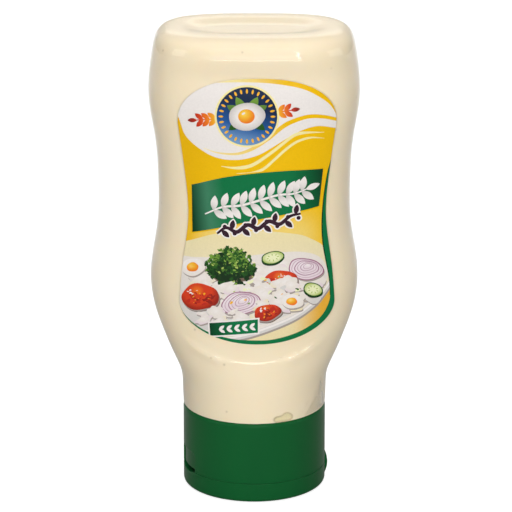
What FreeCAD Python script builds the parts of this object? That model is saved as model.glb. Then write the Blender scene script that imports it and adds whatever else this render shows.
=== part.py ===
# Squeezy bottle of salad cream, standing on its flip-top cap.
#
# Frame: millimetres, +Z up, the origin at the centre of the lid face that the bottle stands on.
# -Y is the front, with the main label, +X its right-hand side. The bottle is oval: widest along X.
#
# From the bottom: cap_lid and cap_body with the hinge strap between them, then bottle_wall, a clear
# thin-walled blow moulding filled with salad_cream, and a label on its front and its back.
# The cap is shut and nothing of its inside shows, so lid and body are solid and have no joint.

import FreeCAD, Part
import math
import os

V = FreeCAD.Vector
UP = V(0, 0, 1)
ORIGIN = V(0, 0, 0)
NEAR = 1e-4                # heights closer than this are the same

# Cap
CAP_RADIUS = 27.5
CAP_HEIGHT = 32.0          # lid and body together: the bottle's shoulder starts here
LID_HEIGHT = 7.6
LID_BOTTOM_ROUND = 1.6
CAP_RIM_ROUND = 0.6
SEAM_WIDTH = 0.3           # open groove between the lid and the body
SEAM_DEPTH = 0.8
CAP_TURN = 17.0            # degrees that the closed cap is turned, anticlockwise from above

# Thumb recess, at the cap's -X side before the turn
RECESS_HALF_WIDTH = 7.6
RECESS_HEIGHT = 7.7        # above the seam
RECESS_DEPTH = 0.8
RECESS_CORNER = 2.2
SLOT_HEIGHT = 1.7
SLOT_DEPTH = 3.0
LIP_DIP = 1.5              # how far the lid's edge dips below the seam at the recess

# Hinge strap, opposite the recess: a bow over the seam
HINGE_HALF_ANGLE = 15.0    # degrees round the cap
HINGE_LOW = 1.5
HINGE_HIGH = 10.8
HINGE_BULGE = 1.4
HINGE_ROUND = 0.35

# Bottle
BOTTLE_TOP = 182.0
WALL = 0.8
EDGE_ROUND = 6.0           # round between the sides and the base, which is on top here
DISH_DEPTH = 2.2           # the base is pushed in, inside a standing ring
RING_WIDTH = 3.0
DISH_SLOPE = 9.0           # plan width of the slope from the ring down to the dish's floor
LEVEL_STEP = 5.0           # height between the sections of the sides
RING_POINTS = 32           # points round a section

# Outline: height, half width, half depth, squareness (2 is an ellipse, more is boxier)
STATIONS = [
    (32.0, 27.4, 27.4, 2.0),     # neck, level with the cap
    (39.4, 27.7, 27.3, 2.05),
    (45.4, 28.2, 27.2, 2.1),     # crease between neck and shoulder
    (51.4, 30.4, 27.0, 2.2),
    (56.0, 32.4, 26.5, 2.3),     # ledge under the label, front and back
    (60.4, 34.1, 25.8, 2.4),
    (72.4, 38.2, 25.5, 2.55),
    (87.4, 39.6, 25.0, 2.6),     # hips
    (104.0, 37.2, 24.4, 2.6),
    (122.0, 36.6, 24.1, 2.6),    # waist, where the hand grips
    (140.0, 37.8, 24.7, 2.7),
    (156.5, 40.1, 25.4, 2.9),    # crown, the widest part
    (168.0, 39.4, 25.5, 3.0),
    (175.5, 38.2, 26.1, 3.0),    # brow above the label
    (182.0, 36.8, 25.9, 3.0),    # base
]

# Air pockets where the cream has come away from the wall above the cap:
# degrees from the front towards +X, height, then radius round the wall, up and into the cream
POCKETS = [
    (60.0, 36.5, 9.0, 9.5, 3.2),
    (26.0, 34.6, 5.0, 1.9, 1.0),
]

# Labels: die-cut films that follow the outline, with an arched top and a rounder bottom
LABEL_FILM = 0.15
LABEL_SHIFT = 1.1          # the front label sits a little to the right
LABEL_CURVE_STEPS = 12     # points along each quarter of the die line
LABEL_ARCH_HEIGHT = 18.0
LABEL_ARCH_SQUARENESS = 2.35
LABEL_SMILE_HEIGHT = 16.0
LABEL_SMILE_SQUARENESS = 2.0
LABEL_SIDES = [            # height and half width between the smile and the arch
    (79.8, 29.4),
    (95.0, 28.1),
    (112.0, 26.0),
    (130.0, 27.1),
    (149.8, 29.7),
]


def natural_spline(knots, values):
    """The smooth curve through the points, straight at both ends, as a function of height."""
    last = len(knots) - 1
    step = [knots[i + 1] - knots[i] for i in range(last)]
    slope = [(values[i + 1] - values[i]) / step[i] for i in range(last)]
    bend = [0.0] * (last + 1)
    upper = [0.0] * (last + 1)
    for i in range(1, last):
        pivot = 2 * (step[i - 1] + step[i]) - step[i - 1] * upper[i - 1]
        upper[i] = step[i] / pivot
        bend[i] = (6 * (slope[i] - slope[i - 1]) - step[i - 1] * bend[i - 1]) / pivot
    for i in range(last - 1, 0, -1):
        bend[i] -= upper[i] * bend[i + 1]

    def curve(x):
        i = max(k for k in range(last) if k == 0 or knots[k] <= x)
        right = (x - knots[i]) / step[i]
        left = 1 - right
        straight = left * values[i] + right * values[i + 1]
        cubic = (left ** 3 - left) * bend[i] + (right ** 3 - right) * bend[i + 1]
        return straight + cubic * step[i] ** 2 / 6

    return curve


HEIGHTS = [s[0] for s in STATIONS]
half_width = natural_spline(HEIGHTS, [s[1] for s in STATIONS])
half_depth = natural_spline(HEIGHTS, [s[2] for s in STATIONS])
squareness = natural_spline(HEIGHTS, [s[3] for s in STATIONS])


def ring(z, inward, drop):
    """One closed section: the outline at the height z, moved inwards and dropped by these amounts."""
    a = half_width(z) - inward
    b = half_depth(z) - inward
    n = squareness(z)
    points = []
    for i in range(RING_POINTS):
        turn = 2 * math.pi * i / RING_POINTS
        c, s = math.cos(turn), math.sin(turn)
        reach = (abs(c / a) ** n + abs(s / b) ** n) ** (-1 / n)
        points.append(V(reach * c, reach * s, z - drop))
    curve = Part.BSplineCurve()
    curve.interpolate(Points=points, PeriodicFlag=True, Parameters=list(range(RING_POINTS + 1)))
    return Part.Wire([curve.toShape()])


def bottle_form(skin):
    """The bottle's whole volume, grown outwards by skin, which is negative for its inside."""
    rings = []
    side_top = BOTTLE_TOP - EDGE_ROUND
    levels = math.ceil((side_top - CAP_HEIGHT) / LEVEL_STEP)
    for i in range(levels + 1):
        z = CAP_HEIGHT + (side_top - CAP_HEIGHT) * i / levels
        rings.append(ring(z, -skin, 0))
    for degrees in (22.5, 45, 67.5, 90):
        turn = math.radians(degrees)
        z = side_top + EDGE_ROUND * math.sin(turn)
        inward = EDGE_ROUND * (1 - math.cos(turn)) - skin * math.cos(turn)
        rings.append(ring(z, inward, -skin * math.sin(turn)))
    for part in (0, 0.25, 0.5, 0.75, 1, 1.3):
        fall = DISH_DEPTH * (1 - math.cos(math.pi * min(part, 1))) / 2
        inward = EDGE_ROUND + RING_WIDTH + DISH_SLOPE * part
        rings.append(ring(BOTTLE_TOP, inward, fall - skin))
    return Part.makeLoft(rings, True, False)


def is_level(edge, z):
    """True for an edge that lies level at the height z."""
    box = edge.BoundBox
    return abs(box.ZMin - z) < NEAR and abs(box.ZMax - z) < NEAR


def turned(shape):
    """The shape turned with the cap to where the cap was screwed tight."""
    shape.rotate(ORIGIN, UP, CAP_TURN)
    return shape


def sector(low, high, outer, inner, half_width_y):
    """The piece of a ring on the -X side, between two radii and two heights."""
    tube = Part.makeCylinder(outer, high - low, V(0, 0, low))
    tube = tube.cut(Part.makeCylinder(inner, high - low, V(0, 0, low)))
    gate = Part.makeBox(outer, 2 * half_width_y, high - low, V(-outer, -half_width_y, low))
    return tube.common(gate)


def recess_cutter():
    """What the thumb recess takes out of the cap body: a shallow window with round top corners."""
    top = LID_HEIGHT + RECESS_HEIGHT
    window = sector(LID_HEIGHT - 1, top, CAP_RADIUS + 2, CAP_RADIUS - RECESS_DEPTH, RECESS_HALF_WIDTH)
    corners = [e for e in window.Edges if is_top_corner(e, top)]
    return window.makeFillet(RECESS_CORNER, corners)


def is_top_corner(edge, top):
    """True for the two radial edges at the upper corners of the recess."""
    return is_level(edge, top) and edge.BoundBox.YLength < NEAR


def slot_cutter():
    """The deep slot for the thumbnail, along the foot of the recess."""
    return sector(LID_HEIGHT - 1, LID_HEIGHT + SLOT_HEIGHT, CAP_RADIUS + 2,
                  CAP_RADIUS - SLOT_DEPTH, RECESS_HALF_WIDTH - 0.6)


def lip_cutter():
    """The dip in the lid's edge under the recess: a wide, flat round cut."""
    reach = RECESS_HALF_WIDTH
    radius = (reach ** 2 + LIP_DIP ** 2) / (2 * LIP_DIP)
    centre = V(-CAP_RADIUS - 2, 0, LID_HEIGHT - LIP_DIP + radius)
    roller = Part.makeCylinder(radius, SLOT_DEPTH + 2, centre, V(1, 0, 0))
    keep = sector(0, LID_HEIGHT + 1, CAP_RADIUS + 2, CAP_RADIUS - SLOT_DEPTH, reach)
    return roller.common(keep)


def cap_body():
    """The screwed part of the cap, with its rim, thumb recess and half of the seam groove."""
    body = Part.makeCylinder(CAP_RADIUS, CAP_HEIGHT - LID_HEIGHT, V(0, 0, LID_HEIGHT))
    body = body.makeFillet(CAP_RIM_ROUND, [e for e in body.Edges if is_level(e, CAP_HEIGHT)])
    groove = Part.makeCylinder(CAP_RADIUS + 1, SEAM_WIDTH, V(0, 0, LID_HEIGHT))
    groove = groove.cut(Part.makeCylinder(CAP_RADIUS - SEAM_DEPTH, SEAM_WIDTH, V(0, 0, LID_HEIGHT)))
    for cutter in (groove, recess_cutter(), slot_cutter()):
        body = body.cut(cutter)
    return turned(body)


def cap_lid():
    """The flip lid that the bottle stands on, round at its lower edge."""
    lid = Part.makeCylinder(CAP_RADIUS, LID_HEIGHT)
    lid = lid.makeFillet(LID_BOTTOM_ROUND, [e for e in lid.Edges if is_level(e, 0)])
    return turned(lid.cut(lip_cutter()))


def hinge():
    """The hinge strap: a bow from the lid to the body, run part of the way round the cap."""
    low = V(CAP_RADIUS, 0, HINGE_LOW)
    high = V(CAP_RADIUS, 0, HINGE_HIGH)
    middle = V(CAP_RADIUS + HINGE_BULGE, 0, (HINGE_LOW + HINGE_HIGH) / 2)
    bow = Part.Arc(low, middle, high).toShape()
    back = Part.LineSegment(high, low).toShape()
    strap = Part.Face(Part.Wire([bow, back])).revolve(ORIGIN, UP, 2 * HINGE_HALF_ANGLE)
    ends = [e for e in strap.Edges if is_bow(e)]
    strap = strap.makeFillet(HINGE_ROUND, ends)
    strap.rotate(ORIGIN, UP, -HINGE_HALF_ANGLE)
    return turned(strap)


def is_bow(edge):
    """True for the two upright bows at the ends of the hinge strap."""
    return edge.BoundBox.ZLength > 1 and isinstance(edge.Curve, Part.Circle)


def bottle_wall(outside, inside):
    """The clear wall, open at the neck, where it stands on the cap."""
    return outside.cut(inside)


def pocket(degrees, z, round_wall, up, into):
    """One air pocket: an ellipsoid centred on the wall."""
    ball = Part.makeSphere(1)
    squeeze = FreeCAD.Matrix()
    squeeze.scale(V(round_wall, into, up))
    egg = ball.transformGeometry(squeeze)
    egg.rotate(ORIGIN, UP, degrees)
    turn = math.radians(degrees)
    egg.translate(V(math.sin(turn), -math.cos(turn), 0) * CAP_RADIUS + V(0, 0, z))
    return egg


def salad_cream(inside):
    """The filling: the whole inside, less the air pockets above the cap."""
    cream = inside
    for place in POCKETS:
        cream = cream.cut(pocket(*place))
    return cream


def quarter(width, height, power):
    """A quarter of a superellipse, from its end across (width, 0) to its end along (0, height)."""
    points = []
    for i in range(LABEL_CURVE_STEPS + 1):
        turn = math.pi / 2 * i / LABEL_CURVE_STEPS
        points.append((width * abs(math.cos(turn)) ** (2 / power), height * math.sin(turn) ** (2 / power)))
    return points


def label_outline(shift):
    """The die line, seen from the front, as points: the smile, two waisted sides and the arch."""
    sides = natural_spline([s[0] for s in LABEL_SIDES], [s[1] for s in LABEL_SIDES])
    (low, low_width), (high, high_width) = LABEL_SIDES[0], LABEL_SIDES[-1]
    smile = quarter(low_width, LABEL_SMILE_HEIGHT, LABEL_SMILE_SQUARENESS)
    right = [(x, low - z) for x, z in reversed(smile)]
    for i in range(1, LABEL_CURVE_STEPS):
        z = low + (high - low) * i / LABEL_CURVE_STEPS
        right.append((sides(z), z))
    right += [(x, high + z) for x, z in quarter(high_width, LABEL_ARCH_HEIGHT, LABEL_ARCH_SQUARENESS)]
    left = [(-x, z) for x, z in reversed(right[1:-1])]
    return [V(x + shift, 0, z) for x, z in right + left]


def label(outside, skin, shift, front):
    """A film on the wall within the die line, on the front or the back."""
    curve = Part.BSplineCurve()
    curve.interpolate(label_outline(shift), PeriodicFlag=True)
    stamp = Part.Face(Part.Wire([curve.toShape()]))
    reach = 2 * CAP_RADIUS
    prism = stamp.extrude(V(0, -reach if front else reach, 0))
    return skin.cut(outside).common(prism)


def build():
    """Every node of the model, by name."""
    outside = bottle_form(0)
    inside = bottle_form(-WALL)
    skin = bottle_form(LABEL_FILM)
    return {
        "cap_lid": cap_lid(),
        "cap_body": cap_body(),
        "hinge": hinge(),
        "bottle_wall": bottle_wall(outside, inside),
        "salad_cream": salad_cream(inside),
        "front_label": label(outside, skin, LABEL_SHIFT, True),
        "back_label": label(outside, skin, 0, False),
    }


os.makedirs("parts", exist_ok=True)
for name, shape in build().items():
    print(name, len(shape.Solids), shape.isValid(), round(shape.Volume / 1000, 2), "ml")
    shape.exportStep("parts/" + name + ".step")
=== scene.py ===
"""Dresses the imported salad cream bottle: clear wall, filling, flip-top cap, printed labels and stage.

The bottle stands on its cap, +Z up, with its front towards -Y. Outlines are worked out in millimetres
and turned into metres as each mesh is made.
"""

import math
import random

import bpy
import numpy as np
from bpy.props import FloatProperty, FloatVectorProperty, IntProperty, PointerProperty
from bpy.types import NodeSocket, Operator, Panel, PropertyGroup
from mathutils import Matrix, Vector
from mathutils.geometry import delaunay_2d_cdt


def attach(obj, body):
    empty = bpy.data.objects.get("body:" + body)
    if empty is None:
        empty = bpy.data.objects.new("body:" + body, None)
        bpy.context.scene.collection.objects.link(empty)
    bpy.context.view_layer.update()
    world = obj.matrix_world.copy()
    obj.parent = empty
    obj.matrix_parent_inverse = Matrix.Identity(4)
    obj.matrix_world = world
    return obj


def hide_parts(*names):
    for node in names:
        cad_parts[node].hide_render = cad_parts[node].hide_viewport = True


bl_info = {
    "name": "Salad cream bottle",
    "version": (1, 0, 0),
    "blender": (4, 5, 0),
    "location": "3D View > Sidebar > Salad cream",
    "description": "Builds the looks of a squeezy bottle of salad cream round its packed frame",
    "category": "Object",
}

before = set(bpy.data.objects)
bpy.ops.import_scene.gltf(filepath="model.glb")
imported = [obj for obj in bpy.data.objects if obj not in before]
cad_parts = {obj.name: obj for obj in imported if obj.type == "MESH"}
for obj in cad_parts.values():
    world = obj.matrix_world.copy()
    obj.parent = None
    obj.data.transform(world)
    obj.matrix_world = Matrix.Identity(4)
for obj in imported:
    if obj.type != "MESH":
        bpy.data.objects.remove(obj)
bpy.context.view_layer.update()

MM = 0.001
BODY = "root"

# Bottle outline: height, half width, half depth, squareness (2 is an ellipse, more is boxier), in mm
STATIONS = [
    (32.0, 27.4, 27.4, 2.0),     # neck, level with the cap
    (39.4, 27.7, 27.3, 2.05),
    (45.4, 28.2, 27.2, 2.1),     # crease between neck and shoulder
    (51.4, 30.4, 26.85, 2.2),
    (56.0, 32.4, 26.35, 2.3),    # ledge under the label, front and back
    (60.4, 34.1, 25.95, 2.4),
    (72.4, 38.2, 25.5, 2.55),
    (87.4, 39.6, 25.0, 2.6),     # hips
    (104.0, 37.2, 24.4, 2.6),
    (122.0, 36.6, 24.1, 2.6),    # waist, where the hand grips
    (140.0, 37.8, 24.7, 2.7),
    (156.5, 40.1, 25.4, 2.9),    # crown, the widest part
    (168.0, 39.4, 25.5, 3.0),
    (175.5, 38.2, 26.1, 3.0),    # brow above the label
    (182.0, 36.8, 25.9, 3.0),    # base
]
BOTTLE_TOP = 182.0
CAP_HEIGHT = 32.0
EDGE_ROUND = 8.0                 # the soft edge round the base, at the sides
BROW_ROUND = 10.0                # and at the front and back
EDGE_POWER = 2.8                 # 2 is a plain arc, more eases into the side and the base
BROW_DIP = 0.55                  # the front and back dip this far between brow and label
BROW_DIP_HEIGHT = 167.5          # where that dip is deepest
BROW_DIP_REACH = 7.2             # and how far it reaches up and down from there
LEDGE_HEIGHT = 55.6              # the low ledge under the label, at its middle
LEDGE_CURVE = 0.0122             # it climbs towards the sides by this times the square of x
LEDGE_RISE = 0.6                 # how far it stands out, before the shares below
LEDGE_ABOVE = 1.3                # it falls to nothing this far above its crest
LEDGE_BELOW = 5.0                # and this far below
LEDGE_LOW = 0.12                 # the share of its rise at the middle
LEDGE_HIGH = 1.6                 # and the most it comes to towards the sides
LEDGE_EVEN = 6.0                 # it grows from this far out
LEDGE_GROWTH = 7.0               # by the square of the way beyond, counted in these lengths
LEDGE_END = 30.0                 # it ends this far out
LEDGE_FADE = 9.0                 # after fading over this length
FACE_DEPTH = 12.0                # what lies further out than this is the front or the back
FOOT_ROUND = 0.7                 # the wall's lower edge turns in here, down to the cap
DISH_DEPTH = 1.3                 # the base is pushed in, inside a standing ring
RING_WIDTH = 1.0
DISH_SLOPE = 9.0                 # plan width of the slope down from the ring
DISH_FLOOR = 1.3                 # the dish's flat starts here, in slopes from the ring
CREAM_OVERLAP = 0.12             # the filling reaches this far into the wall
LARGE_POCKET = 0.13              # how far the cream stands back from the wall in its air pockets
SMALL_POCKET = 0.7
POCKET_TOP = 52.0                # there are none above this height

# Rows of the bottle's mesh: stops on the way down and the even steps to each
WALL_ROWS = [(67.0, 73), (53.0, 43), (CAP_HEIGHT + 1, 17)]
FOOT_ROWS = (0.8, 0.6, 0.45, 0.3, 0.15, 0.05, 0.0)    # above the cap
CREAM_ROWS = [(CAP_HEIGHT + 16, 104), (CAP_HEIGHT, 47)]
EDGE_ROWS = 24                   # down the dish's slope, and again round the edge
FLOOR_RINGS = (0.1, 0.25, 0.45, 0.65, 0.85)           # shares of the dish's flat
POLE_SHARE = 0.00002             # a ring as small as this closes to a point
WELD_DISTANCE = 0.005 * MM
ROUGH_FROM = BOTTLE_TOP - 5      # between these heights the wall grows as rough as the base
ROUGH_TO = BOTTLE_TOP - 1

# Cap, in mm
CAP_RADIUS = 27.5
LID_HEIGHT = 7.6
LID_BOTTOM_ROUND = 1.6
CAP_RIM_ROUND = 1.4
SEAM_WIDTH = 0.12
SEAM_DEPTH = 0.25
SEAM_ROUND = 0.3
CAP_TURN = 17.0                  # degrees: where the cap stopped when it was screwed tight
RECESS_HALF_WIDTH = 7.6
RECESS_HEIGHT = 7.7              # above the seam
RECESS_DEPTH = 0.7
RECESS_CORNER = 2.2
RECESS_BLEND = 0.3               # softness of the recess's edge
SLOT_HEIGHT = 1.0                # the thumbnail's slot along the foot of the recess
SLOT_DEPTH = 3.0
SLOT_BLEND = 0.12                # softness of the slot's sides
SLOT_EDGE = 0.06                 # and of its ceiling
SLOT_INSET = 0.6                 # it is this much narrower at each side than the recess
LIP_DIP = 1.1                    # how far the lid's edge dips at the recess
LIP_BLEND = 3.5                  # and the height over which the dip fades out
RECESS_POINTS = 96               # points round the cap: across the recess, and round the rest
CAP_POINTS = 150
HINGE_HALF_ANGLE = 15.0          # degrees
HINGE_LOW = 1.5
HINGE_HIGH = 10.8
HINGE_BULGE = 1.15
HINGE_ROUND = 0.7
HINGE_SINK = 0.1                 # its ends sink this far into the cap
HINGE_ROOT = 0.4                 # and its back lies this deep
HINGE_LINE_DEPTH = 0.25          # the thin line that it bends along
HINGE_LINE_WIDTH = 0.22

# Labels: height and half width of the die line between its smile and its arch, in mm
LABEL_FILM = 0.15
LABEL_SHIFT = 1.1                # the front label sits a little to the right
LABEL_ARCH_HEIGHT = 18.0
LABEL_ARCH_SQUARENESS = 2.35
LABEL_SMILE_HEIGHT = 16.0
LABEL_SMILE_SQUARENESS = 2.0
LABEL_CURVE_STEPS = 26           # points along each quarter of the die line
LABEL_SIDES = [(79.8, 29.4), (95.0, 28.1), (112.0, 26.0), (130.0, 27.1), (149.8, 29.7)]
PRINT_GRID = 1.3                 # spacing of the points that let the print follow the wall
CUT_PRECISION = 1e-5             # points of the print nearer than this become one
RIM_ANGLE = 50.0                 # degrees: sharper edges than this stay sharp

# Stage, in metres
FLOOR_REACH = 4.0
LIFT_BEHIND = (0.05, 0.5)        # how far back the floor's lift starts, and where it is full
LAMP_TARGET = (0, 0, 0.1)
CAMERA_PLACE = (0.00068, -1.35, 0.51935)
CAMERA_TARGET = (0.00068, 0, 0.09082)
WALL_SIDE = (0.55, 0.35)         # the bright wall behind fades in between these shares of the way aside
WALL_BACK = (0.1, 0.4)           # and between these shares of the way back
WALL_REFLECTED = 0.25            # it is wider by this share where it is reflected
WARM_LIGHT = (1.0, 0.94, 0.83)   # the room's tint on what it lights
GLINT_LIGHT = (1.0, 0.99, 0.97)  # and in reflections


# Curves and outlines

def natural_spline(knots, values):
    """The smooth curve through the points, straight at both ends, as a function of the first value."""
    knots = np.array(knots, float)
    values = np.array(values, float)
    step = np.diff(knots)
    system = np.eye(len(knots))
    turn = np.zeros(len(knots))
    for i in range(1, len(knots) - 1):
        system[i, i - 1:i + 2] = step[i - 1], 2 * (step[i - 1] + step[i]), step[i]
        turn[i] = 6 * ((values[i + 1] - values[i]) / step[i] - (values[i] - values[i - 1]) / step[i - 1])
    bend = np.linalg.solve(system, turn)

    def curve(x):
        i = np.clip(np.searchsorted(knots, x, side="right") - 1, 0, len(step) - 1)
        right = (x - knots[i]) / step[i]
        left = 1 - right
        cubic = (left ** 3 - left) * bend[i] + (right ** 3 - right) * bend[i + 1]
        return left * values[i] + right * values[i + 1] + cubic * step[i] ** 2 / 6

    return curve


HEIGHTS, WIDTHS, DEPTHS, CORNERS = zip(*STATIONS)
half_width = natural_spline(HEIGHTS, WIDTHS)
plain_half_depth = natural_spline(HEIGHTS, DEPTHS)
squareness = natural_spline(HEIGHTS, CORNERS)


def half_depth(z):
    """Half the bottle's depth at a height, with the dip between the brow and the label."""
    near = np.clip(np.abs(z - BROW_DIP_HEIGHT) / BROW_DIP_REACH, 0, 1)
    return plain_half_depth(z) - BROW_DIP * (1 + np.cos(np.pi * near)) / 2


def smooth_step(x):
    """0 below 0, 1 above 1, and a soft S between them."""
    x = np.clip(x, 0, 1)
    return x * x * (3 - 2 * x)


def ramp(x, start, length):
    """A soft step: 0 up to the start and 1 from a length further on, which may be negative."""
    return smooth_step((x - start) / length)


def smooth_line(points, steps=8, closed=False):
    """A smooth curve through the points, as a fine polyline."""
    p = np.array(points, float)
    if closed:
        p = np.vstack([p[-1], p, p[0], p[1]])
    else:
        p = np.vstack([2 * p[0] - p[1], p, 2 * p[-1] - p[-2]])
    t = np.arange(steps)[:, None] / steps
    runs = []
    for a, b, c, d in zip(p, p[1:], p[2:], p[3:]):
        runs.append(b + (c - a) * t / 2 + (a - 2.5 * b + 2 * c - d / 2) * t ** 2
                    + (1.5 * b - a / 2 - 1.5 * c + d / 2) * t ** 3)
    line = np.vstack(runs)
    return line if closed else np.vstack([line, p[-2]])


def stroke(points, widths, steps=8):
    """A band along a smooth line; its width runs through the given widths from end to end."""
    line = smooth_line(points, steps)
    along = np.linspace(0, 1, len(line))
    half = np.interp(along, np.linspace(0, 1, len(widths)), widths)[:, None] / 2
    run = np.gradient(line, axis=0)
    run /= np.linalg.norm(run, axis=1)[:, None]
    side = np.column_stack([-run[:, 1], run[:, 0]])
    return np.vstack([line + side * half, (line - side * half)[::-1]])


def placed(points, x, z, turn=0.0):
    """The points turned by degrees and moved to (x, z)."""
    c, s = math.cos(math.radians(turn)), math.sin(math.radians(turn))
    right, up = np.array(points, float).T
    return np.column_stack([x + right * c - up * s, z + right * s + up * c])


def oval(x, z, rx, rz, turn=0.0, points=28):
    """An ellipse."""
    t = 2 * np.pi * np.arange(points) / points
    return placed(np.column_stack([rx * np.cos(t), rz * np.sin(t)]), x, z, turn)


def blob(x, z, rx, rz, turn, wave, phase, points=40):
    """An uneven ellipse: wave is how much it wanders, as a share of its size."""
    t = 2 * np.pi * np.arange(points) / points
    reach = 1 + wave * (0.6 * np.sin(3 * t + phase) + 0.4 * np.sin(5 * t + 2 * phase))
    return placed(np.column_stack([rx * reach * np.cos(t), rz * reach * np.sin(t)]), x, z, turn)


def leaf(x, z, length, width, turn):
    """A pointed leaf that starts at (x, z)."""
    t = np.linspace(0, 1, 11)
    half = width / 2 * np.sin(np.pi * t) ** 0.8
    half[[0, -1]] = 0
    outline = np.vstack([np.column_stack([t * length, half]),
                         np.column_stack([t * length, -half])[-2:0:-1]])
    return placed(outline, x, z, turn)


# Colours

def colour(red, green, blue):
    """A screen colour, 0 to 255 each, as the linear values that shaders take."""
    share = np.array([red, green, blue], float) / 255
    return np.where(share <= 0.04045, share / 12.92, ((share + 0.055) / 1.055) ** 2.4)


def even(rgb):
    """An ink of one colour."""
    return lambda p: np.tile(rgb, (len(p), 1))


def towards(rgb, other, share):
    """A colour that is moved a share of the way to another."""
    return rgb + (other - rgb) * share


def through_stops(along, stops):
    """Colours of a blend whose stops are spread evenly from 0 to 1."""
    knots = np.linspace(0, 1, len(stops))
    return np.column_stack([np.interp(along, knots, [stop[k] for stop in stops]) for k in range(3)])


def fade(start, end, *stops):
    """An ink that blends through its stops from one point to another."""
    start, end = np.array(start, float), np.array(end, float)
    run = end - start
    return lambda p: through_stops((p - start) @ run / (run @ run), stops)


def glow(x, z, rx, rz, *stops):
    """An ink that blends through its stops from a centre outwards."""
    return lambda p: through_stops(np.hypot((p[:, 0] - x) / rx, (p[:, 1] - z) / rz), stops)


# Nodes and meshes

def add_node(tree, kind, inputs=None, **settings):
    """A new node with its settings and inputs; an input is a value or another node's output."""
    node = tree.nodes.new(kind)
    for name, value in settings.items():
        setattr(node, name, value)
    for key, value in (inputs or {}).items():
        if isinstance(value, NodeSocket):
            tree.links.new(value, node.inputs[key])
        else:
            node.inputs[key].default_value = value
    return node


def maths(tree, operation, *values):
    """The result of a Math node."""
    return add_node(tree, "ShaderNodeMath", dict(enumerate(values)), operation=operation).outputs[0]


def noise(tree, place, scale, detail=2.0):
    """The grey of a Noise Texture."""
    return add_node(tree, "ShaderNodeTexNoise",
                    {"Vector": place, "Scale": scale, "Detail": detail}).outputs[0]


def map_range(tree, value, start, end, low=0.0, high=1.0):
    """A value carried from one range to another and held at its ends."""
    return add_node(tree, "ShaderNodeMapRange", {"Value": value, "From Min": start, "From Max": end,
                                                 "To Min": low, "To Max": high}).outputs[0]


def mix_colours(tree, share, first, second):
    """A blend of two colours, each given as three values or as a node's output."""
    first, second = (rgb if isinstance(rgb, NodeSocket) else (*rgb, 1) for rgb in (first, second))
    return add_node(tree, "ShaderNodeMix", {0: share, "A": first, "B": second},
                    data_type="RGBA").outputs["Result"]


def bump(tree, height, strength, distance):
    """The normal of a Bump node."""
    return add_node(tree, "ShaderNodeBump",
                    {"Height": height, "Strength": strength, "Distance": distance}).outputs[0]


def finish_material(material, shader):
    """The material, with its output joined to a shader node."""
    add_node(material.node_tree, "ShaderNodeOutputMaterial", {"Surface": shader.outputs[0]})
    return material


def new_material(name):
    """A material without nodes, its tree, and the object's own coordinates in it."""
    material = bpy.data.materials.new(name)
    material.use_nodes = True
    tree = material.node_tree
    tree.nodes.clear()
    return material, tree, add_node(tree, "ShaderNodeTexCoord").outputs["Object"]


def new_object(name, mesh):
    """A mesh object at the origin, in the scene."""
    piece = bpy.data.objects.new(name, mesh)
    bpy.context.scene.collection.objects.link(piece)
    return piece


def new_mesh(name, points, faces, material=None):
    """A smooth mesh from points in mm."""
    mesh = bpy.data.meshes.new(name)
    mesh.from_pydata((np.array(points) * MM).tolist(), [], faces)
    mesh.shade_smooth()
    if material:
        mesh.materials.append(material)
    return mesh


def mark_points(mesh, name, values):
    """Stores one number for each point of a mesh in a named attribute."""
    mesh.attributes.new(name, "FLOAT", "POINT").data.foreach_set("value", values)


def mesh_points(mesh):
    """The points of a mesh, in mm."""
    points = np.empty(len(mesh.vertices) * 3)
    mesh.vertices.foreach_get("co", points)
    return points.reshape(-1, 3) / MM


def move_points(mesh, points):
    """Moves a mesh's points to new places, given in mm."""
    mesh.vertices.foreach_set("co", (points * MM).ravel())
    mesh.update()


def keep_edges_sharp(mesh):
    """Marks the corners of a mesh that are sharper than its soft curves."""
    mesh.set_sharp_from_angle(angle=math.radians(RIM_ANGLE))


def dress(piece, nodes):
    """Rides a finished piece on the bottle in place of its CAD nodes."""
    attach(piece, BODY)
    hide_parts(*nodes)


def lathe(name, grid, material):
    """A closed mesh from rings of points, top first; the first and last rings shrink to one point."""
    rings, round_points = grid.shape[:2]
    points = np.vstack([grid[0].mean(0), grid[1:-1].reshape(-1, 3), grid[-1].mean(0)])
    last = len(points) - 1
    faces = []
    for j in range(round_points):
        k = (j + 1) % round_points
        faces.append((0, 1 + j, 1 + k))
        for i in range(rings - 3):
            low, high = 1 + i * round_points, 1 + (i + 1) * round_points
            faces.append((low + j, high + j, high + k, low + k))
        base = 1 + (rings - 3) * round_points
        faces.append((base + j, last, base + k))
    return new_mesh(name, points, faces, material)


# Bottle wall and filling

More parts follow.
